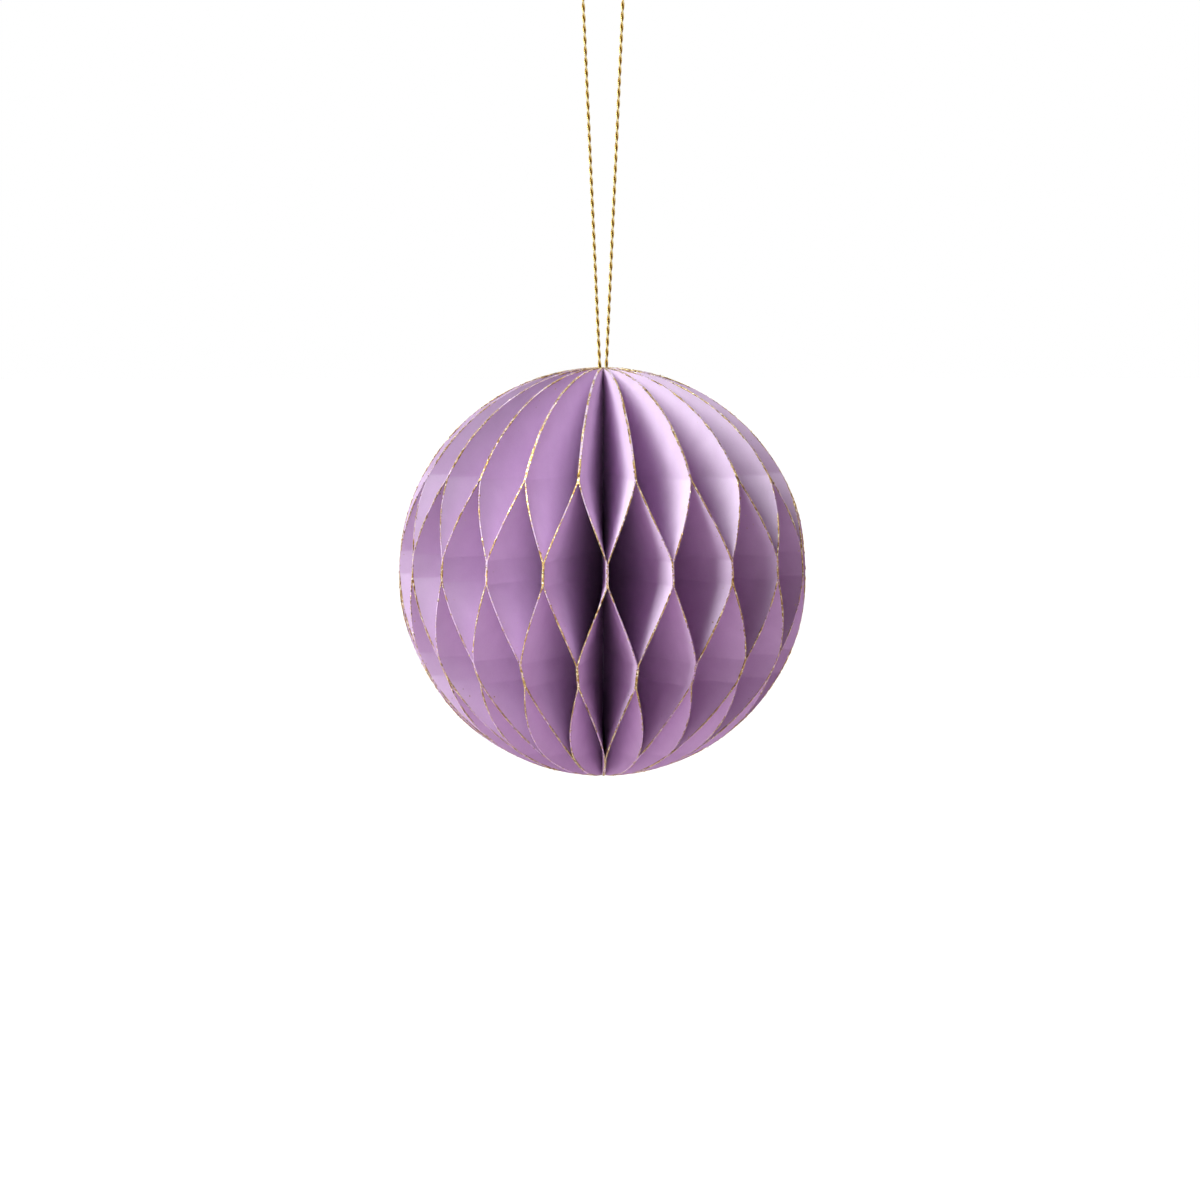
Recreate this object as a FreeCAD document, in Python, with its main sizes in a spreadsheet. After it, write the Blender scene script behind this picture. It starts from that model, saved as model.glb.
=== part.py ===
import FreeCAD, Part
import math
import os
from FreeCAD import Placement, Rotation, Vector

# A honeycomb paper ball, hung by a loop of metallic cord.
# Half-disc leaves of card stand round an upright spine, like the pages of a book opened right round.
# Short level bands of glue join each leaf to its two neighbours in turn: one set of bands joins pairs in
# the A planes, the other joins pairs in the B planes, which lie midway between the A planes. Between the
# bands each leaf crosses from one plane to the next, and that opens the cells.
# The ball is opened by hand, so the leaves stand a little closer together on one side.
# Origin at the centre of the ball, +Z up along the spine, one B plane facing -Y.

# Driving sizes, in millimetres and degrees
SIZES = [
    ("ball_radius", 40, "radius of the opened ball, and of each half-disc leaf"),
    ("pair_count", 20, "glued pairs in each row of bands; the leaves are twice as many"),
    ("opening_swing", 5.2, "how far the planes are shifted, at most, from even spacing"),
    ("closest_side", -171, "azimuth where the leaves stand closest together"),
    ("card_thickness", 0.2, "thickness of the card"),
    ("root_clearance", 0.02, "room between the leaves where they meet round the spine"),
    ("upper_cell_top", 19.5, "height where the top pairs part, at the lower edge of an A band"),
    ("cell_drop", 15, "height in which a leaf crosses from one plane to the other"),
    ("band_height", 4.5, "height of a band of glue"),
    ("rim_step", 4, "largest angle of one facet of a leaf's round rim"),
    ("glue_clearance", 0.02, "room between the bead of glue and the leaves round it"),
    ("glue_end_margin", 0.8, "how far the bead of glue stops short of each pole"),
    ("cord_diameter", 0.7, "thickness of the twisted cord"),
]

# The cord's route: up one strand, over the bend that hangs on a hook, and down the other strand.
# Each point is a distance to the side of the axis and a height above the top of the glue.
CORD_ROUTE = [
    (-0.42, -4),
    (-4.1, 77),
    (0, 79.45),
    (4.1, 77),
    (0.42, -4),
]
BEND_SHARE = 0.45  # share of the shorter run that each bend of the cord takes up

doc = FreeCAD.newDocument("HoneycombBall")
sizes = doc.addObject("Spreadsheet::Sheet", "Sizes")
for row, (alias, value, note) in enumerate(SIZES, start=1):
    sizes.set(f"A{row}", alias)
    sizes.set(f"B{row}", str(value))
    sizes.set(f"C{row}", note)
    sizes.setAlias(f"B{row}", alias)
doc.recompute()

ball_radius = sizes.ball_radius
card_thickness = sizes.card_thickness
pair_count = round(sizes.pair_count)
closest_half_pitch = math.pi / pair_count * (1 - math.radians(sizes.opening_swing))

# The leaves' straight edges stand in a ring round the axis, which the paired leaves close where they
# stand closest together
leaf_root = card_thickness / math.tan(closest_half_pitch) + sizes.root_clearance
pole_height = math.sqrt(ball_radius**2 - leaf_root**2)


def creases():
    """Heights of a leaf's level creases, from pole to pole, each with its plane: 0 for A and 1 for B."""
    found = [(pole_height, 0)]
    height = sizes.upper_cell_top
    plane = 0
    while height - sizes.cell_drop > -pole_height:
        found.append((height, plane))
        plane = 1 - plane
        found.append((height - sizes.cell_drop, plane))
        height -= sizes.cell_drop + sizes.band_height
    found.append((-pole_height, plane))
    return found


def plane_azimuth(place):
    """Azimuth of a glue plane, in degrees. Whole places are B planes, and A planes lie midway."""
    even = place * 360 / pair_count - 90
    from_closest = math.radians(even - sizes.closest_side)
    front_from_closest = math.radians(-90 - sizes.closest_side)
    return even - sizes.opening_swing * (math.sin(from_closest) - math.sin(front_from_closest))


def leaf_point(reach, height, crossing, side, lean):
    """A point on one side of a leaf, reach away from the axis.

    crossing goes from 0 in the A plane to 1 in the B plane. lean is the angle between these planes."""
    azimuth = crossing * lean
    offset = math.copysign(card_thickness, lean) * (side - crossing)
    x = reach * math.cos(azimuth) - offset * math.sin(azimuth)
    y = reach * math.sin(azimuth) + offset * math.cos(azimuth)
    return Vector(x, y, height)


def rim_heights(top, bottom):
    """Heights along the round rim between two creases, in even steps of angle."""
    first = math.asin(top / ball_radius)
    last = math.asin(bottom / ball_radius)
    steps = math.ceil(math.degrees(first - last) / sizes.rim_step)
    return [ball_radius * math.sin(first + (last - first) * step / steps) for step in range(steps + 1)]


def facet(*points):
    return Part.Face(Part.makePolygon([*points, points[0]]))


def edge_facets(one_side, other_side):
    """The cut edge of the card along a run of points, as two facets from each point to the next."""
    faces = []
    for step in range(len(one_side) - 1):
        faces.append(facet(one_side[step], one_side[step + 1], other_side[step]))
        faces.append(facet(other_side[step], one_side[step + 1], other_side[step + 1]))
    return faces


def panel_facets(rim, root_above, root_below):
    """One side of a leaf between two creases, as two fans of facets.

    Card bends but doesn't stretch, so it crosses a cell as two shallow cones. Their points are the ends
    of the two creases at the spine. A panel that ends in a pole has one fan."""
    middle = len(rim) // 2
    faces = []
    if root_above.isEqual(rim[0], card_thickness):
        middle = 0
    elif root_below.isEqual(rim[-1], card_thickness):
        middle = len(rim) - 1
    else:
        faces.append(facet(root_above, rim[middle], root_below))
    faces += [facet(root_above, rim[step], rim[step + 1]) for step in range(middle)]
    faces += [facet(root_below, rim[step], rim[step + 1]) for step in range(middle, len(rim) - 1)]
    return faces


def leaf_solid(lean):
    """A whole leaf, standing on the +X side of the axis with its A bands in the plane y = 0."""
    faces = []
    marks = creases()
    for (top, plane_above), (bottom, plane_below) in zip(marks, marks[1:]):
        rims = []
        roots = []
        for side in (0, 1):
            rim = []
            for height in rim_heights(top, bottom):
                crossing = plane_above + (plane_below - plane_above) * (top - height) / (top - bottom)
                reach = math.sqrt(max(ball_radius**2 - height**2, leaf_root**2))
                rim.append(leaf_point(reach, height, crossing, side, lean))
            root_above = leaf_point(leaf_root, top, plane_above, side, lean)
            root_below = leaf_point(leaf_root, bottom, plane_below, side, lean)
            faces += panel_facets(rim, root_above, root_below)
            rims.append(rim)
            roots.append([root_above, root_below])
        faces += edge_facets(*rims)
        faces += edge_facets(*roots)
    solid = Part.Solid(Part.Shell(faces)).removeSplitter()
    if solid.Volume < 0:
        solid.reverse()
    return solid


def add_leaves():
    """All the leaves, in order round the spine: each A plane has one that leans back and one forward."""
    leaves = []
    for pair in range(pair_count):
        even = f"({pair} + 0.5) * 360 / round(Sizes.pair_count) - 90"
        shift = f"sin(({even} - Sizes.closest_side) * 1 deg) - sin((-90 - Sizes.closest_side) * 1 deg)"
        for b_plane in (pair, pair + 1):
            number = len(leaves) + 1
            leaf = doc.addObject("Part::Feature", f"Leaf{number:02d}")
            leaf.Label = f"leaf_{number:02d}"
            leaf.Shape = leaf_solid(math.radians(plane_azimuth(b_plane) - plane_azimuth(pair + 0.5)))
            leaf.Placement = Placement(Vector(), Rotation(Vector(0, 0, 1), 0))
            leaf.setExpression("Placement.Rotation.Angle", f"{even} - Sizes.opening_swing * ({shift})")
            leaves.append(leaf)
    return leaves


def cord_path(points):
    """Straight runs joined by arcs that leave each run and meet the next in its own direction."""
    edges = []
    start = points[0]
    for before, corner, after in zip(points, points[1:], points[2:]):
        arriving = (corner - before).normalize()
        leaving = (after - corner).normalize()
        half_turn = arriving.getAngle(leaving) / 2
        trim = BEND_SHARE * min((corner - before).Length, (after - corner).Length)
        radius = trim / math.tan(half_turn)
        print(f"cord bend: turn {math.degrees(2 * half_turn):.1f} degrees, radius {radius:.2f} mm")
        arc_start = corner - arriving * trim
        arc_end = corner + leaving * trim
        inward = (leaving - arriving).normalize()
        arc_middle = corner + inward * (radius / math.cos(half_turn) - radius)
        edges.append(Part.LineSegment(start, arc_start).toShape())
        edges.append(Part.Arc(arc_start, arc_middle, arc_end).toShape())
        start = arc_end
    edges.append(Part.LineSegment(start, points[-1]).toShape())
    return Part.Wire(edges)


def add_cord():
    """The hanging loop: one length of cord with both ends held in the spine's glue."""
    glue_top = ball_radius - sizes.glue_end_margin
    points = [Vector(aside, 0, glue_top + height) for aside, height in CORD_ROUTE]
    path = doc.addObject("Part::Feature", "CordPath")
    path.Shape = cord_path(points)

    section = doc.addObject("Part::Circle", "CordSection")
    section.setExpression("Radius", "Sizes.cord_diameter / 2")
    section.Placement = Placement(points[0], Rotation(Vector(0, 0, 1), points[1] - points[0]))

    cord = doc.addObject("Part::Sweep", "HangingCord")
    cord.Label = "hanging_cord"
    cord.Sections = [section]
    cord.Spine = (path, [f"Edge{number}" for number in range(1, len(path.Shape.Edges) + 1)])
    cord.Solid = True
    doc.recompute()
    section_area = math.pi * (sizes.cord_diameter / 2)**2
    expected = section_area * path.Shape.Length
    print(f"cord length {path.Shape.Length:.2f} mm, volume {cord.Shape.Volume:.3f} of {expected:.3f} mm3")
    return cord


def add_spine_glue(cord):
    """The bead of clear glue inside the ring of leaf edges, set round the two ends of the cord."""
    bead = doc.addObject("Part::Cylinder", "GlueBead")
    closest = "180 deg / round(Sizes.pair_count) * (1 - Sizes.opening_swing * pi / 180)"
    root = f"Sizes.card_thickness / tan({closest}) + Sizes.root_clearance"
    bead.setExpression("Radius", f"{root} - Sizes.glue_clearance")
    bead.setExpression("Height", "2 * (Sizes.ball_radius - Sizes.glue_end_margin)")
    bead.setExpression("Placement.Base.z", "Sizes.glue_end_margin - Sizes.ball_radius")

    glue = doc.addObject("Part::Cut", "SpineGlue")
    glue.Label = "spine_glue"
    glue.Base = bead
    glue.Tool = cord
    return glue


def check_pieces(pieces):
    """Stops if any object failed, or if a piece isn't one sound solid."""
    for obj in doc.Objects:
        if "Invalid" in obj.State or "Error" in obj.State:
            raise RuntimeError(f"{obj.Name} failed: {obj.State}")
    for piece in pieces:
        if piece.Shape.isNull() or not piece.Shape.isValid() or len(piece.Shape.Solids) != 1:
            raise RuntimeError(f"{piece.Label} has no sound solid")


leaves = add_leaves()
hanging_cord = add_cord()
spine_glue = add_spine_glue(hanging_cord)
doc.recompute()

pieces = [*leaves, hanging_cord, spine_glue]
check_pieces(pieces)
os.makedirs("parts", exist_ok=True)
for piece in pieces:
    piece.Shape.exportStep(f"parts/{piece.Label}.step")
print(f"{len(pieces)} pieces, leaf root {leaf_root:.3f} mm, leaf volume {leaves[0].Shape.Volume:.1f} mm3")
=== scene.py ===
# %% [markdown]
# # Dressing a honeycomb paper ball
#
# The real object is a ball of forty half-disc leaves of lilac card. Their straight edges stand in a ring
# round a bead of glue, and short level bands of glue join each leaf to its two neighbours in turn, which
# opens the rows of cells. Gold glitter sticks to the cut edges, and the ball hangs from a loop of twisted
# metallic cord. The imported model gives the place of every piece. This file adds what the eye looks for:
# softly bent card, grains of glitter, plies in the cord, and the light of a small studio.

import math

import bmesh
import bpy
import numpy as np
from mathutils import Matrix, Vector


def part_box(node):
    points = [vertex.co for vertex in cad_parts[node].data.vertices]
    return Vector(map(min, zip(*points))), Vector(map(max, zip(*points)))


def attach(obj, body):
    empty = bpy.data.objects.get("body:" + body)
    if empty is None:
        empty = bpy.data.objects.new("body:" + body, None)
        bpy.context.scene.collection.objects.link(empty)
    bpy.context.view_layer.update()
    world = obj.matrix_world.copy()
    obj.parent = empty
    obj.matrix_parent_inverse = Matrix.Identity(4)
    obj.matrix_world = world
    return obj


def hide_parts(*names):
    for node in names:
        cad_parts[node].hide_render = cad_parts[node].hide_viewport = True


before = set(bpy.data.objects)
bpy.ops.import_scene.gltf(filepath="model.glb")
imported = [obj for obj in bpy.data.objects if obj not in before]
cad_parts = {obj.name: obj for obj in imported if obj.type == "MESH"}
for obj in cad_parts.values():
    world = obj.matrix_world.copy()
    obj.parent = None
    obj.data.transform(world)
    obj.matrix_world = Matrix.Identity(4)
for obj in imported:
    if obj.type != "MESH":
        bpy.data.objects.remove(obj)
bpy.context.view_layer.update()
print("nodes:", len(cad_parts))

# %% [markdown]
# ## Driving sizes
#
# Everything is in metres. The ball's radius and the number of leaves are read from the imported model. The
# other sizes are those of the construction, so that each dressed leaf lies in its own solid.

# %% Name the driving sizes
MM = 0.001
leaf_boxes = [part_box(name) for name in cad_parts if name.startswith("leaf_")]
BALL_RADIUS = max(-low.y for low, high in leaf_boxes)
LEAF_COUNT = len(leaf_boxes)
PAIR_COUNT = LEAF_COUNT // 2
OPENING_SWING = math.radians(5.2)
CLOSEST_SIDE = math.radians(-171)
CARD_THICKNESS = 0.2 * MM
ROOT_CLEARANCE = 0.02 * MM
LEAF_ROOT = CARD_THICKNESS / math.tan(math.pi / PAIR_COUNT * (1 - OPENING_SWING)) + ROOT_CLEARANCE
POLE_HEIGHT = math.sqrt(BALL_RADIUS**2 - LEAF_ROOT**2)
UPPER_CELL_TOP = 19.5 * MM
CELL_DROP = 15 * MM
BAND_HEIGHT = 4.5 * MM
CORD_DIAMETER = 0.7 * MM
GLUE_END_MARGIN = 0.8 * MM
GLUE_TOP = BALL_RADIUS - GLUE_END_MARGIN
print(f"ball radius {BALL_RADIUS / MM:.2f} mm, {LEAF_COUNT} leaves, roots at {LEAF_ROOT / MM:.2f} mm")

# %% [markdown]
# ## Camera
#
# The photograph was taken with a long lens a little above the middle of the ball. The ball's centre lies
# above the middle of the picture, so the camera aims at a point below it, and needs no shift. Blender
# gives the lens and the sensor in millimetres.

# %% Place the camera
VIEW_WIDTH = 235.3 * MM
CAMERA_DISTANCE = 800 * MM
CAMERA_ELEVATION = math.radians(4.3)
CAMERA_TURN = math.radians(-1.2)
PICTURE_SIZE = 1200
BALL_CENTRE_PIXEL = (603, 571.5)
SENSOR_WIDTH = 36
NEAREST_SEEN = 10 * MM
FARTHEST_SEEN = 100


def direction(turn, elevation):
    """Unit vector from the ball towards a place: turn to the right of -Y, elevation above the level."""
    return Vector((math.sin(turn) * math.cos(elevation), -math.cos(turn) * math.cos(elevation),
                   math.sin(elevation)))


def aimed(name, data, place, target):
    """An object that stands at place and looks at target."""
    made = bpy.data.objects.new(name, data)
    bpy.context.scene.collection.objects.link(made)
    made.location = place
    made.rotation_euler = (target - place).to_track_quat("-Z", "Y").to_euler()
    return made


camera_data = bpy.data.cameras.new("camera")
camera_data.sensor_width = SENSOR_WIDTH
camera_data.lens = SENSOR_WIDTH * CAMERA_DISTANCE / VIEW_WIDTH
camera_data.clip_start = NEAREST_SEEN
camera_data.clip_end = FARTHEST_SEEN
metres_per_pixel = VIEW_WIDTH / PICTURE_SIZE
sideways = (PICTURE_SIZE / 2 - BALL_CENTRE_PIXEL[0]) * metres_per_pixel
upwards = (BALL_CENTRE_PIXEL[1] - PICTURE_SIZE / 2) * metres_per_pixel
camera_right = Vector((math.cos(CAMERA_TURN), math.sin(CAMERA_TURN), 0))
aim = camera_right * sideways + Vector((0, 0, upwards))
camera = aimed("camera", camera_data, direction(CAMERA_TURN, CAMERA_ELEVATION) * CAMERA_DISTANCE, aim)
bpy.context.scene.camera = camera
print(f"lens {camera_data.lens:.0f} mm, aim {[round(value / MM, 2) for value in aim]} mm")

# %% [markdown]
# ## Helpers for surfaces
#
# Each new piece is a grid of points, worked out as one numpy array of rows and columns. A ring of columns
# that closes on itself, carried along the rows, makes a skin that is open only at its first and last row.
# Where such a row shrinks to a point or a line, its doubles are merged, and that closes the end. Elsewhere
# a flat cap closes it.

# %% Turn grids into meshes


def ring_faces(rows, columns, first=0):
    """Quads between neighbouring rows of a grid whose columns close into a ring.

    The corner of row i and column j has the number first + i * columns + j."""
    row, column = np.meshgrid(np.arange(rows - 1), np.arange(columns), indexing="ij")
    after = (column + 1) % columns
    corners = np.stack([row * columns + column, row * columns + after,
                        (row + 1) * columns + after, (row + 1) * columns + column], axis=-1)
    return first + corners.reshape(-1, 4)


def cap_faces(rows, columns, first=0):
    """The two end faces of a ring grid, as one many-sided face each."""
    start = first + np.arange(columns)
    end = first + (rows - 1) * columns + np.arange(columns)[::-1]
    return [start.tolist(), end.tolist()]


def make_mesh_object(name, points, faces, merge=0.0, smooth_angle=None):
    """A mesh object at the origin. Doubles nearer than merge join, and faces are turned outwards.

    With a smooth_angle, edges that turn by less than that are shaded smooth."""
    mesh = bpy.data.meshes.new(name)
    mesh.from_pydata(points.reshape(-1, 3).tolist(), [], faces)
    work = bmesh.new()
    work.from_mesh(mesh)
    if merge:
        bmesh.ops.remove_doubles(work, verts=work.verts, dist=merge)
    bmesh.ops.recalc_face_normals(work, faces=work.faces)
    work.to_mesh(mesh)
    work.free()
    if smooth_angle is not None:
        mesh.shade_smooth()
        mesh.set_sharp_from_angle(angle=smooth_angle)
    made = bpy.data.objects.new(name, mesh)
    bpy.context.scene.collection.objects.link(made)
    return made


print("faces between 3 rows of 4 columns:", len(ring_faces(3, 4)))

# %% [markdown]
# ## Helpers for materials
#
# A finish is a few nodes chained by name. Patterns read Object coordinates, or a map of the piece's own,
# so they stay put on the piece from every side.

# %% Chain shader nodes


class Finish:
    """A node material with short calls for the nodes that these finishes need."""

    def __init__(self, name):
        self.material = bpy.data.materials.new(name)
        self.material.use_nodes = True
        self.tree = self.material.node_tree
        self.shader = self.tree.nodes["Principled BSDF"]
        self.place = self.tree.nodes.new("ShaderNodeTexCoord").outputs["Object"]

    def node(self, kind, values=None, **settings):
        """Adds a node, with its settings as keywords and its inputs, fixed or linked, in values."""
        made = self.tree.nodes.new(kind)
        for setting, value in settings.items():
            setattr(made, setting, value)
        for socket, value in (values or {}).items():
            self.give(made.inputs[socket], value)
        return made

    def give(self, socket, value):
        """Links an output to the socket, or sets the socket's own value."""
        if isinstance(value, bpy.types.NodeSocket):
            self.tree.links.new(value, socket)
        else:
            socket.default_value = value

    def noise(self, scale, detail=3.0, roughness=0.5, vector=None):
        """Soft noise from 0 to 1, scale being waves per metre, or per unit of the vector that is given."""
        values = {"Vector": vector or self.place, "Scale": scale, "Detail": detail, "Roughness": roughness}
        return self.node("ShaderNodeTexNoise", values).outputs["Fac"]

    def ramp(self, factor, *stops):
        """Colour by factor, each stop being a place from 0 to 1 and a colour."""
        made = self.node("ShaderNodeValToRGB", {"Fac": factor})
        elements = made.color_ramp.elements
        while len(elements) < len(stops):
            elements.new(0.5)
        for element, (place, colour) in zip(elements, stops):
            element.position = place
            element.color = (*colour, 1.0)
        return made.outputs["Color"]

    def mix(self, factor, first, second, blend="MIX"):
        """Colour between first and second. The node keeps its two colours in inputs 6 and 7."""
        made = self.node("ShaderNodeMix", data_type="RGBA", blend_type=blend)
        self.give(made.inputs[0], factor)
        self.give(made.inputs[6], first)
        self.give(made.inputs[7], second)
        return made.outputs[2]

    def bump(self, height, depth, strength):
        """Surface relief of the given depth in metres, by a height from 0 to 1."""
        values = {"Height": height, "Distance": depth, "Strength": strength}
        return self.node("ShaderNodeBump", values).outputs["Normal"]

    def surface(self, **values):
        """Sets or links inputs of the main shader, named with underscores for spaces."""
        for name, value in values.items():
            self.give(self.shader.inputs[name.replace("_", " ")], value)
        return self.material


def linear(red, green, blue):
    """A colour given as 0 to 255 screen values, turned by the sRGB curve into a shader's light values."""
    screen = np.array([red, green, blue]) / 255
    light = np.where(screen <= 0.04045, screen / 12.92, ((screen + 0.055) / 1.055)**2.4)
    return tuple(float(value) for value in light)


print("light value of middle grey:", round(linear(128, 128, 128)[0], 3))

# %% [markdown]
# ## Lilac card
#
# Uncoated card is dull, with a fine felt of fibres and faint clouds in its dye. An image could show them,
# but noise never repeats and needs no file. The fibres are a shallow bump, and two sizes of noise shift the
# colour by a few hundredths. Light that bounces from leaf to leaf takes on more of the dye each time, which
# turns the shade inside the cells plum instead of grey.

# %% Mix the card's finish
CARD_CLOUDS_PER_METRE = 260
CARD_FIBRES_PER_METRE = 4200
CARD_DYE = [(0.3, linear(233, 206, 237)), (0.7, linear(239, 213, 243))]
CARD_FLECKS = [(0.35, (0.1, 0.08, 0.12)), (0.65, (1, 0.97, 1))]
CARD_FLECK_SHARE = 0.1
CARD_FELT_DEPTH = 0.03 * MM


def card_finish():
    """Dye by soft clouds, flecked by a small share of the felt's noise, which also raises the bump."""
    finish = Finish("lilac_card")
    clouds = finish.noise(CARD_CLOUDS_PER_METRE)
    felt = finish.noise(CARD_FIBRES_PER_METRE, detail=4, roughness=0.65)
    dyed = finish.ramp(clouds, *CARD_DYE)
    flecks = finish.ramp(felt, *CARD_FLECKS)
    flecked = finish.mix(CARD_FLECK_SHARE, dyed, flecks, blend="SOFT_LIGHT")
    relief = finish.bump(felt, CARD_FELT_DEPTH, strength=0.5)
    return finish.surface(Base_Color=flecked, Roughness=0.8, Specular_IOR_Level=0.15, Normal=relief)


CARD = card_finish()
print("finish:", CARD.name)

# %% [markdown]
# ## Gold glitter
#
# Glitter is cut metal foil in glue. Each grain lies at its own angle, so one flashes while the next is
# nearly black. In one even gold the grains would run together into a wire. So a cell pattern paints each
# grain a random tone, gold in the middle of the range, with painted dark reflections at the dark end and
# painted glints at the light end, and the mesh gives it facets.

# %% Mix the glitter's finish
GLITTER_CELLS_PER_METRE = 4000
# The dark stops are painted dark reflections and the near-white top stop a painted glint; the stops between
# are the gold itself.
GLITTER_GOLD_WITH_PAINTED_GLINTS = [(0.1, linear(84, 52, 8)), (0.28, linear(166, 122, 40)), (0.5, linear(190, 155, 94)),
                  (0.78, linear(212, 182, 122)), (0.9, linear(252, 243, 206))]


def glitter_finish():
    """Each cell of the pattern has a random colour, and its red value picks the tone, from a painted dark
    reflection through gold to a painted glint.
    """
    finish = Finish("gold_glitter")
    cells = finish.node("ShaderNodeTexVoronoi", {"Vector": finish.place, "Scale": GLITTER_CELLS_PER_METRE},
                        feature="F1")
    shade = finish.node("ShaderNodeSeparateColor", {"Color": cells.outputs["Color"]}).outputs["Red"]
    gold = finish.ramp(shade, *GLITTER_GOLD_WITH_PAINTED_GLINTS)
    return finish.surface(Base_Color=gold, Metallic=0.75, Roughness=0.38)


GLITTER = glitter_finish()
print("finish:", GLITTER.name)

# %% [markdown]
# ## Cord and glue finishes
#
# The cord is two plies wound from flat metallic yarn. Each ply has a map of its own that runs along it and
# round it, in millimetres and from 0 on the side that turns inwards to 1 on the side that turns outwards. By
# it, fine windings are drawn as a bump, and the colour runs from dark brown on the inward side, painted
# shade in the groove between the plies, through gold to pale gold on the outward side, a painted highlight
# on each crest. The glue is cloudy and smooth.

# %% Mix the finishes of cord and glue
# From the inward side to the outward one: dark brown is painted shade in the groove between the plies, the
# top stop a painted highlight on the crest, gold between.
PLY_PAINTED_SHADE_TO_HIGHLIGHT = [(0.0, linear(62, 38, 4)), (0.3, linear(140, 98, 22)), (0.6, linear(212, 170, 62)),
              (0.9, linear(255, 240, 166))]
STREAK_SHADE = (*linear(96, 68, 10), 1.0)
STREAK_EDGES = [(0.35, (0, 0, 0)), (0.75, (1, 1, 1))]
STREAK_SCALE = 9
WINDING_SCALE = 0.9
WINDING_DEPTH = 0.04 * MM
GLUE_TINTS = [(0.3, linear(206, 196, 214)), (0.7, linear(232, 226, 236))]
GLUE_CLOUDS_PER_METRE = 900
GLUE_RELIEF_DEPTH = 0.1 * MM


def cord_finish():
    """Painted shade in dark brown on the inward side, through gold, to a painted highlight on the outward
    one, with dark streaks over both.
    """
    finish = Finish("gold_cord")
    ply_map = finish.node("ShaderNodeUVMap", uv_map="ply").outputs["UV"]
    outward = finish.node("ShaderNodeSeparateXYZ", {"Vector": ply_map}).outputs["Y"]
    windings = finish.node("ShaderNodeTexWave", {"Vector": ply_map, "Scale": WINDING_SCALE,
                                                 "Distortion": 1.2, "Detail": 1.0}, bands_direction="X")
    streaks = finish.ramp(finish.noise(STREAK_SCALE, vector=ply_map), *STREAK_EDGES)
    yarn = finish.mix(streaks, finish.ramp(outward, *PLY_PAINTED_SHADE_TO_HIGHLIGHT), STREAK_SHADE)
    relief = finish.bump(windings.outputs["Fac"], WINDING_DEPTH, strength=0.6)
    return finish.surface(Base_Color=yarn, Metallic=0.7, Roughness=0.34, Normal=relief)


def glue_finish():
    """Two pale tints by soft clouds, which also raise a low bump."""
    finish = Finish("clear_glue")
    cloud = finish.noise(GLUE_CLOUDS_PER_METRE)
    tint = finish.ramp(cloud, *GLUE_TINTS)
    relief = finish.bump(cloud, GLUE_RELIEF_DEPTH, strength=0.4)
    return finish.surface(Base_Color=tint, Roughness=0.28, Normal=relief)


CORD_GOLD = cord_finish()
GLUE = glue_finish()
print("finishes:", CORD_GOLD.name, GLUE.name)

# %% [markdown]
# ## The hanging loop
#
# The loop is one length of two-ply cord, pulled straight by the ball's weight and bent over a hook that
# is not part of the object. A curve with a round bevel would be a smooth tube with a straight outline, so
# the plies are tubes of their own. The cord's route is a few listed points, which one smooth open
# spline follows: each is a distance to the side of the axis and a height above the top of the glue, in
# millimetres. Each ply's middle then runs round the middle of the cord in a helix.

# %% Lay the cord's route
ROUTE_STEPS = 48
CORD_ROUTE = [
    (-0.42, -4),
    (-3.91, 72.8),
    (-4.1, 77),
    (0, 79.45),
    (4.1, 77),
    (3.91, 72.8),
    (0.42, -4),
]


def route_points():
    """The middle of the cord, read from one smooth open spline that follows the route."""
    curve = bpy.data.curves.new("cord_route", "CURVE")
    curve.dimensions = "3D"
    spline = curve.splines.new("NURBS")
    spline.points.add(len(CORD_ROUTE) - 1)
    for point, (aside, height) in zip(spline.points, CORD_ROUTE):
        point.co = (aside * MM, 0, GLUE_TOP + height * MM, 1)
    spline.order_u = 3
    spline.use_endpoint_u = True
    spline.resolution_u = ROUTE_STEPS
    holder = bpy.data.objects.new("cord_route", curve)
    line = bpy.data.meshes.new_from_object(holder)
    points = np.empty(len(line.vertices) * 3)
    line.vertices.foreach_get("co", points)
    bpy.data.objects.remove(holder)
    bpy.data.meshes.remove(line)
    return points.reshape(-1, 3)


cord_middle = route_points()
print("route points:", len(cord_middle))

# %% Wind the plies
PLY_COUNT = 2
PLY_RADIUS = CORD_DIAMETER / 4
TWIST_LENGTH = 4.2 * MM
PLY_STEP = 0.16 * MM
PLY_SIDES = 10
PLY_SWELL = 0.06
SWELL_WAVES = (9.1 / MM, 2.3 / MM)
PLY_SMOOTH_ANGLE = math.radians(60)


def even_points(points, step):
    """The same line with points at even distances, and the distance of each along it."""
    lengths = np.linalg.norm(np.diff(points, axis=0), axis=1)
    travelled = np.concatenate([[0], np.cumsum(lengths)])
    even = np.linspace(0, travelled[-1], int(travelled[-1] / step) + 1)
    return np.stack([np.interp(even, travelled, points[:, axis]) for axis in range(3)], axis=1), even


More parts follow.
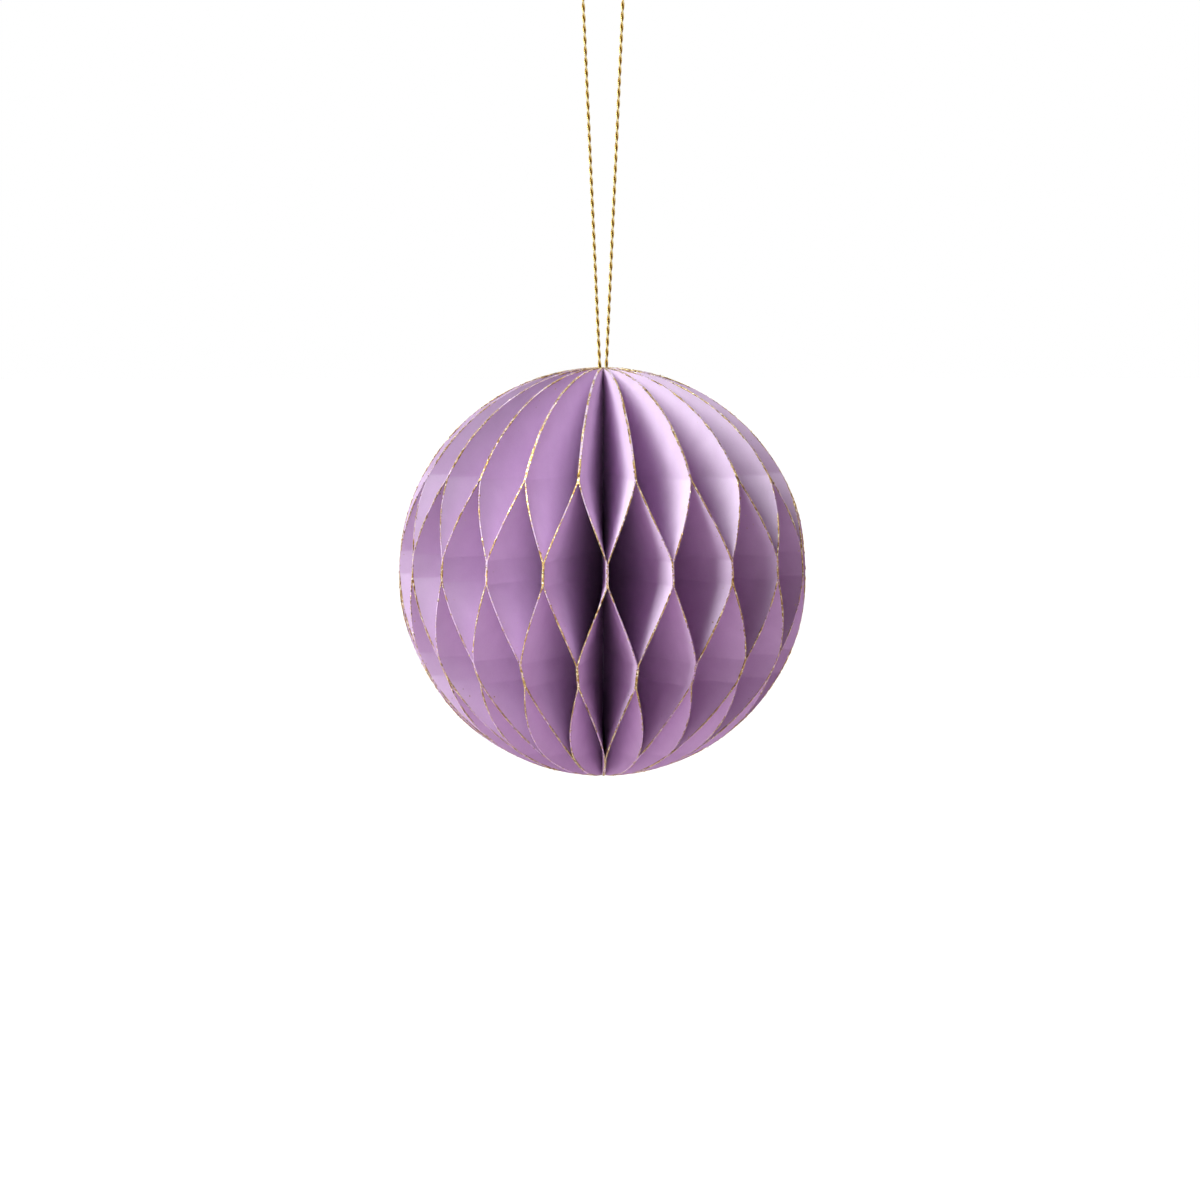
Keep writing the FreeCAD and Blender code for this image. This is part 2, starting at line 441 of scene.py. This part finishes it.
def cord_mesh():
    """Two plies: ply middle = cord middle + ply radius in a direction that turns with the distance.

    The radius of each tube swells and shrinks a little by the product of two sines of the distance."""
    middle, travelled = even_points(cord_middle, PLY_STEP)
    forward = np.gradient(middle, axis=0)
    forward /= np.linalg.norm(forward, axis=1, keepdims=True)
    across = np.broadcast_to([0.0, 1.0, 0.0], forward.shape)
    up = np.cross(forward, across)
    sides = np.linspace(0, 2 * np.pi, PLY_SIDES, endpoint=False)
    points = []
    maps = []
    faces = []
    rows = len(middle)
    for ply in range(PLY_COUNT):
        twist = 2 * np.pi * (ply / PLY_COUNT - travelled / TWIST_LENGTH)
        outward = across * np.cos(twist)[:, None] + up * np.sin(twist)[:, None]
        beside = np.cross(forward, outward)
        swell = 1 + PLY_SWELL * np.sin(travelled * SWELL_WAVES[0] + ply) * np.sin(travelled * SWELL_WAVES[1])
        ring = outward[:, None] * np.cos(sides)[:, None] + beside[:, None] * np.sin(sides)[:, None]
        tube = middle[:, None] + PLY_RADIUS * (outward[:, None] + ring * swell[:, None, None])
        faces += ring_faces(rows, PLY_SIDES, first=len(points) * rows * PLY_SIDES).tolist()
        faces += cap_faces(rows, PLY_SIDES, first=len(points) * rows * PLY_SIDES)
        points.append(tube)
        # The second map value runs from 0 on the inward side to 1 on the outward crest, where the cord's
        # finish paints shade and highlight.
        shine = np.broadcast_to((1 + np.cos(sides)) / 2, (rows, PLY_SIDES))
        maps.append(np.stack([np.broadcast_to(travelled[:, None] / MM, shine.shape), shine], axis=-1))
    return np.stack(points), faces, np.stack(maps).reshape(-1, 2)


cord_points, cord_faces, cord_map = cord_mesh()
cord = make_mesh_object("twisted_cord", cord_points, cord_faces, smooth_angle=PLY_SMOOTH_ANGLE)
ply_layer = cord.data.uv_layers.new(name="ply")
corner_points = np.empty(len(cord.data.loops), dtype=np.int32)
cord.data.loops.foreach_get("vertex_index", corner_points)
ply_layer.data.foreach_set("uv", cord_map[corner_points].ravel())
cord.data.materials.append(CORD_GOLD)
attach(cord, "root")
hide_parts("hanging_cord")

# %% [markdown]
# ## The leaves
#
# A leaf is a sheet over two parameters: the height, and the share of the way from the spine to the round
# rim. At each height the sheet is a straight level line from the spine outwards. That line's direction is
# that of an A plane or a B plane in a glue band, and turns from one to the other across a cell. Card
# takes a crease as a narrow bend, so the direction is averaged over a short height. A Solidify modifier
# could give the sheet its thickness, but both sides are worked out here, so that glued leaves meet face to
# face as their solids do.

# %% Find the creases


def crease_table():
    """Heights of the creases from the lower pole up, each with the share of the way to the B plane."""
    marks = [(POLE_HEIGHT, 0.0)]
    height = UPPER_CELL_TOP
    plane = 0.0
    while height - CELL_DROP > -POLE_HEIGHT:
        marks.append((height, plane))
        plane = 1.0 - plane
        marks.append((height - CELL_DROP, plane))
        height -= CELL_DROP + BAND_HEIGHT
    marks.append((-POLE_HEIGHT, plane))
    return np.array(marks[::-1])


CREASES = crease_table()
print("creases at", [round(height / MM, 2) for height in CREASES[:, 0].tolist()], "mm")

# %% Turn a leaf from plane to plane
CREASE_HEIGHT = 0.4 * MM
CREASE_SAMPLES = 7
EASE = 0.08


def crossing(height):
    """Share of the way from the A plane to the B plane at each height, eased and softly creased.

    Straight interpolation between creases is mixed with a curve that starts and ends level, and the
    result is averaged over the height of a crease."""
    samples = height[..., None] + np.linspace(-0.5, 0.5, CREASE_SAMPLES) * CREASE_HEIGHT
    inside = np.clip(samples, CREASES[0, 0], CREASES[-1, 0])
    step = np.clip(np.searchsorted(CREASES[:, 0], inside, side="right") - 1, 0, len(CREASES) - 2)
    low, high = CREASES[step, 0], CREASES[step + 1, 0]
    share = (inside - low) / (high - low)
    eased = (1 - EASE) * share + EASE * share**2 * (3 - 2 * share)
    return (CREASES[step, 1] + (CREASES[step + 1, 1] - CREASES[step, 1]) * eased).mean(axis=-1)


def plane_azimuth(place):
    """Azimuth of a glue plane. Whole places are B planes, and A planes lie midway.

    Even spacing is shifted by a sine, so the leaves stand closest together on one side of the ball."""
    even = place * 2 * math.pi / PAIR_COUNT - math.pi / 2
    return even - OPENING_SWING * (math.sin(even - CLOSEST_SIDE) - math.sin(-math.pi / 2 - CLOSEST_SIDE))


def sheet_points(reach, height, side, a_plane, b_plane):
    """Points of a leaf: reach away from the axis, side from 0 to 1 through the card's thickness.

    A point is reach in the direction of the sheet, and thickness * (side - share) at right angles to it,
    so side 0 lies in the A plane at its bands, and side 1 lies in the B plane at its bands."""
    share = crossing(height)
    azimuth = a_plane + share * (b_plane - a_plane)
    offset = math.copysign(CARD_THICKNESS, b_plane - a_plane) * (side - share)
    return np.stack([reach * np.cos(azimuth) - offset * np.sin(azimuth),
                     reach * np.sin(azimuth) + offset * np.cos(azimuth),
                     height], axis=-1)


print("share of the way to the B plane at the middle:", round(float(crossing(np.zeros(1))[0]), 3))

# %% Lay the grid of a leaf
POLE_ANGLE = math.asin(POLE_HEIGHT / BALL_RADIUS)
ROW_COUNT = 110
COLUMN_COUNT = 9
CREASE_ROWS = 5
CREASE_ROWS_REACH = 0.6


def row_heights():
    """Heights of the grid's rows: even steps of angle along the rim, and extra rows at each crease."""
    even = BALL_RADIUS * np.sin(np.linspace(-POLE_ANGLE, POLE_ANGLE, ROW_COUNT))
    beside = np.linspace(-CREASE_ROWS_REACH, CREASE_ROWS_REACH, CREASE_ROWS) * CREASE_HEIGHT
    extra = (CREASES[1:-1, :1] + beside).ravel()
    return np.unique(np.concatenate([even, extra]))


def rim_reach(height):
    """Distance of the round rim from the axis."""
    return np.maximum(np.sqrt(np.maximum(BALL_RADIUS**2 - height**2, 0)), LEAF_ROOT)


def leaf_mesh(a_plane, b_plane):
    """Both sides of a leaf as one ring of columns: out along one side and back along the other.

    The reach goes from the root to the rim in even steps."""
    height, out = np.meshgrid(row_heights(), np.linspace(0, 1, COLUMN_COUNT), indexing="ij")
    reach = LEAF_ROOT + (rim_reach(height) - LEAF_ROOT) * out
    near = sheet_points(reach, height, 0.0, a_plane, b_plane)
    far = sheet_points(reach, height, 1.0, a_plane, b_plane)
    return np.concatenate([near, far[:, ::-1]], axis=1)


print("rows of a leaf:", len(row_heights()))

# %% Dress every leaf
POLE_MERGE = 0.0005 * MM
CARD_SMOOTH_ANGLE = math.radians(40)


def leaf_planes(number):
    """Azimuths of the A plane and the B plane of a leaf, numbered from 1."""
    return plane_azimuth((number - 1) // 2 + 0.5), plane_azimuth(number // 2)


leaf_triangles = 0
for number in range(1, LEAF_COUNT + 1):
    grid = leaf_mesh(*leaf_planes(number))
    rows, columns = grid.shape[:2]
    leaf = make_mesh_object(f"card_leaf_{number:02d}", grid, ring_faces(rows, columns).tolist(),
                            merge=POLE_MERGE, smooth_angle=CARD_SMOOTH_ANGLE)
    leaf.data.materials.append(CARD)
    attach(leaf, "root")
    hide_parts(f"leaf_{number:02d}")
    leaf_triangles += sum(len(face.vertices) - 2 for face in leaf.data.polygons)
print(f"{LEAF_COUNT} leaves, {leaf_triangles} triangles")

# %% [markdown]
# ## Glitter on the cut edges
#
# Tens of thousands of grains cover the cut edges, too many to model one by one. Most of them are a lumpy
# crust round each rim. Its section is a small closed ring round the edge of the card, and its size wanders
# from grain to grain: where it shrinks inside the card, the bare pale edge shows. Only the larger grains
# are separate pieces of foil along the rim, and a few have strayed onto the faces. Eight faces are enough
# for a grain, because it is hardly larger than a pixel.

# %% Wrap each rim in a crust
GRAIN_STEP = 0.18 * MM
CRUST_SECTION = np.array([(-1, -1), (-1.08, 0), (-1, 1), (1, 1), (1.08, 0), (1, -1)])
CRUST_DEPTH = 0.14 * MM
CRUST_PROUD = 0.004 * MM
PATCH_ROWS = 22
PATCH_LIMIT = 1.5
PATCH_SWELL_ACROSS = 0.018 * MM
PATCH_SWELL_OUTWARD = 0.020 * MM
GRAIN_SWELL_ACROSS = 0.012 * MM
GRAIN_SWELL_OUTWARD = 0.016 * MM
random_grains = np.random.default_rng(40)


def rim_frame(number, angle):
    """Middle of the cut edge at each angle above the level, and the directions outwards and across."""
    a_plane, b_plane = leaf_planes(number)
    height = BALL_RADIUS * np.sin(angle)
    reach = rim_reach(height)
    middle = sheet_points(reach, height, 0.5, a_plane, b_plane)
    side = sheet_points(reach, height, 1.0, a_plane, b_plane) - middle
    across = side / np.linalg.norm(side, axis=1, keepdims=True)
    outward = middle / np.linalg.norm(middle, axis=1, keepdims=True)
    return middle, outward, across


def wandering(count, width):
    """Random values near 0, smoothed over width neighbours, with a spread of about 1."""
    raw = random_grains.normal(size=count + width)
    return np.convolve(raw, np.ones(width) / math.sqrt(width), mode="same")[:count]


def crust_mesh(number):
    """Sleeve round the rim: across * half width * u + outward * half depth * v, (u, v) being the section.

    Both halves wander along the rim, and each corner also has its own random share."""
    rows = int(2 * POLE_ANGLE * BALL_RADIUS / GRAIN_STEP)
    middle, outward, across = rim_frame(number, np.linspace(-POLE_ANGLE, POLE_ANGLE, rows))
    patches = np.clip(wandering(rows, PATCH_ROWS), -PATCH_LIMIT, PATCH_LIMIT)[:, None]
    grains = random_grains.normal(size=(2, rows, len(CRUST_SECTION)))
    half_width = CARD_THICKNESS / 2 + PATCH_SWELL_ACROSS * patches + GRAIN_SWELL_ACROSS * grains[0]
    half_depth = (CRUST_DEPTH / 2 + CRUST_PROUD + PATCH_SWELL_OUTWARD * patches
                  + GRAIN_SWELL_OUTWARD * grains[1])
    sunk = middle - outward * (CRUST_DEPTH / 2)
    return (sunk[:, None] + across[:, None] * (half_width * CRUST_SECTION[:, 0])[..., None]
            + outward[:, None] * (half_depth * CRUST_SECTION[:, 1])[..., None])


print("rows of a crust:", int(2 * POLE_ANGLE * BALL_RADIUS / GRAIN_STEP))

# %% Scatter the larger grains
PROUD_GRAINS = 260
STRAY_SHARE = 0.1
STRAY_INWARD = 1.0 * MM
PROUD_INWARD = 0.06 * MM
PROUD_LIFT = 0.05 * MM
PROUD_SCATTER = 0.07 * MM
SMALLEST_GRAIN = 0.05 * MM
LARGEST_GRAIN = 0.19 * MM
GRAIN_GROWTH = 0.045 * MM
GRAIN_UNEVENNESS = (0.6, 1.2)
GRAIN_CORNERS = 6
GRAIN_FACES = np.array([(0, 1, 2), (1, 3, 2), (3, 4, 2), (4, 0, 2),
                        (1, 0, 5), (3, 1, 5), (4, 3, 5), (0, 4, 5)])


def grain_points(centres, sizes):
    """Eight-sided grains: six corners at random distances along three random perpendicular directions."""
    turns = np.linalg.qr(random_grains.normal(size=(len(centres), 3, 3)))[0]
    corners = np.concatenate([turns, -turns], axis=1)
    lengths = random_grains.uniform(*GRAIN_UNEVENNESS, size=(len(centres), GRAIN_CORNERS, 1))
    return centres[:, None] + corners * (sizes[:, None, None] * lengths)


def proud_grains(number):
    """Larger grains at random along the rim, some of them strayed onto the faces beside it.

    Sizes and distances inward are exponential: most are small, and a few are large."""
    angle = np.arcsin(random_grains.uniform(-1, 1, PROUD_GRAINS) * POLE_HEIGHT / BALL_RADIUS)
    middle, outward, across = rim_frame(number, angle)
    stray = random_grains.random((PROUD_GRAINS, 1)) < STRAY_SHARE
    aside = random_grains.normal(size=(PROUD_GRAINS, 1)) * PROUD_SCATTER
    aside = np.where(stray, np.sign(aside) * CARD_THICKNESS / 2, aside)
    inward = random_grains.exponential(size=(PROUD_GRAINS, 1)) * np.where(stray, STRAY_INWARD, PROUD_INWARD)
    sizes = np.minimum(SMALLEST_GRAIN + random_grains.exponential(GRAIN_GROWTH, PROUD_GRAINS), LARGEST_GRAIN)
    return grain_points(middle + across * aside - outward * (inward - PROUD_LIFT), sizes)


print("grains on a rim:", PROUD_GRAINS)

# %% Dress every rim
glitter_triangles = 0
for number in range(1, LEAF_COUNT + 1):
    grid = crust_mesh(number)
    rows, columns = grid.shape[:2]
    grains = proud_grains(number)
    first_corners = rows * columns + GRAIN_CORNERS * np.arange(len(grains))
    faces = ring_faces(rows, columns).tolist() + cap_faces(rows, columns)
    faces += (first_corners[:, None, None] + GRAIN_FACES).reshape(-1, 3).tolist()
    points = np.concatenate([grid.reshape(-1, 3), grains.reshape(-1, 3)])
    crust = make_mesh_object(f"glitter_{number:02d}", points, faces)
    crust.data.materials.append(GLITTER)
    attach(crust, "root")
    glitter_triangles += sum(len(face) - 2 for face in faces)
print(f"glitter: {glitter_triangles} triangles")

# %% [markdown]
# ## The bead of glue
#
# Clear glue that has dried cloudy holds the leaves' straight edges and the ends of the cord. The bead's
# solid already has the right form and is nearly hidden, so it keeps its mesh and only takes the finish.

# %% Finish the glue
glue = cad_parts["spine_glue"]
glue.data.materials.clear()
glue.data.materials.append(GLUE)
print("glue:", [slot.name for slot in glue.data.materials])

# %% [markdown]
# ## Studio
#
# A white room alone would light the ball from all sides and leave its cells without depth. So the room is
# dim, and one soft lamp stands to the left of the camera and above it. The floor sends its light back up from
# below, a little lilac, and with a weak lamp on the right it fills the shade inside the cells. The first
# lamp is faintly green, which leaves the card's light parts paler than its shade. The room and the far
# floor are white where they are seen, and the floor under the object still shows its shadow.

# %% Set the lamps
KEY_TURN = math.radians(-62)
KEY_ELEVATION = math.radians(43)
KEY_SIZE = 1.0
KEY_LEVEL = 1.56
KEY_COLOUR = (0.9, 1.0, 0.93)
FILL_TURN = math.radians(60)
FILL_ELEVATION = math.radians(5)
FILL_SIZE = 1.4
FILL_LEVEL = 0.09
FILL_COLOUR = (1.0, 0.2, 0.8)
LAMP_DISTANCE = 1.6


def lamp(name, turn, elevation, size, level, colour):
    """A square lamp that lights a facing surface at the given level, 1 showing a colour as written.

    The light on the surface is power / (pi * distance squared), and a dull surface sends on 1 / pi of it."""
    data = bpy.data.lights.new(name, "AREA")
    data.shape = "SQUARE"
    data.size = size
    data.energy = level * math.pi**2 * LAMP_DISTANCE**2
    data.color = colour
    aimed(name, data, direction(turn, elevation) * LAMP_DISTANCE, Vector((0, 0, 0)))
    print(f"{name}: {data.energy:.1f} W")


lamp("key_lamp", KEY_TURN, KEY_ELEVATION, KEY_SIZE, KEY_LEVEL, KEY_COLOUR)
lamp("fill_lamp", FILL_TURN, FILL_ELEVATION, FILL_SIZE, FILL_LEVEL, FILL_COLOUR)

# %% Set the room and the floor
ROOM_LEVEL = 0.06
WHITE_LEVEL = 1.0
FLOOR_HALF_WIDTH = 12.0
FLOOR_HEIGHT = -0.30
FLOOR_SEEN_COLOUR = (0.94, 0.85, 0.91, 1)
FLOOR_BOUNCE_COLOUR = (0.88, 0.64, 0.84, 1)
FLOOR_ROUGHNESS = 0.9
FLOOR_GLOW_BELOW = 0.2
FLOOR_GLOW_FAR = 1.0
FLOOR_GLOW_START = 0.4
FLOOR_GLOW_END = 1.1


def seen_directly(tree):
    """1 for rays that come from the camera, or by way of gloss or glass, and 0 for all other rays."""
    path = tree.nodes.new("ShaderNodeLightPath")
    total = path.outputs["Is Camera Ray"]
    for name in ("Is Glossy Ray", "Is Transmission Ray"):
        add = tree.nodes.new("ShaderNodeMath")
        add.operation = "MAXIMUM"
        tree.links.new(total, add.inputs[0])
        tree.links.new(path.outputs[name], add.inputs[1])
        total = add.outputs[0]
    return total


def room():
    """The world: white where it is seen, and a level light everywhere else."""
    world = bpy.data.worlds.new("room")
    bpy.context.scene.world = world
    world.use_nodes = True
    tree = world.node_tree
    background = tree.nodes["Background"]
    background.inputs["Color"].default_value = (1, 1, 1, 1)
    level = tree.nodes.new("ShaderNodeMapRange")
    tree.links.new(seen_directly(tree), level.inputs["Value"])
    level.inputs["To Min"].default_value = ROOM_LEVEL
    level.inputs["To Max"].default_value = WHITE_LEVEL
    tree.links.new(level.outputs["Result"], background.inputs["Strength"])


def floor():
    """A pale floor, white where it is seen: by its own glow far off, and by the lamps under the object."""
    mesh = bpy.data.meshes.new("floor")
    corner_signs = [(-1, -1), (1, -1), (1, 1), (-1, 1)]
    corners = [(x * FLOOR_HALF_WIDTH, y * FLOOR_HALF_WIDTH, FLOOR_HEIGHT) for x, y in corner_signs]
    mesh.from_pydata(corners, [], [(0, 1, 2, 3)])
    made = bpy.data.objects.new("floor", mesh)
    bpy.context.scene.collection.objects.link(made)
    finish = Finish("pale_floor")
    seen = seen_directly(finish.tree)
    away = finish.node("ShaderNodeVectorMath", {0: finish.place}, operation="LENGTH").outputs["Value"]
    glow = finish.node("ShaderNodeMapRange", {"Value": away, "From Min": FLOOR_GLOW_START,
                                              "From Max": FLOOR_GLOW_END, "To Min": FLOOR_GLOW_BELOW,
                                              "To Max": FLOOR_GLOW_FAR}).outputs["Result"]
    shown = finish.node("ShaderNodeMath", {0: seen, 1: glow}, operation="MULTIPLY").outputs["Value"]
    colour = finish.mix(seen, FLOOR_BOUNCE_COLOUR, FLOOR_SEEN_COLOUR)
    finish.surface(Base_Color=colour, Roughness=FLOOR_ROUGHNESS, Emission_Color=(1, 1, 1, 1),
                   Emission_Strength=shown)
    mesh.materials.append(finish.material)


room()
floor()
bpy.context.scene.view_settings.view_transform = "Standard"
print("studio ready")
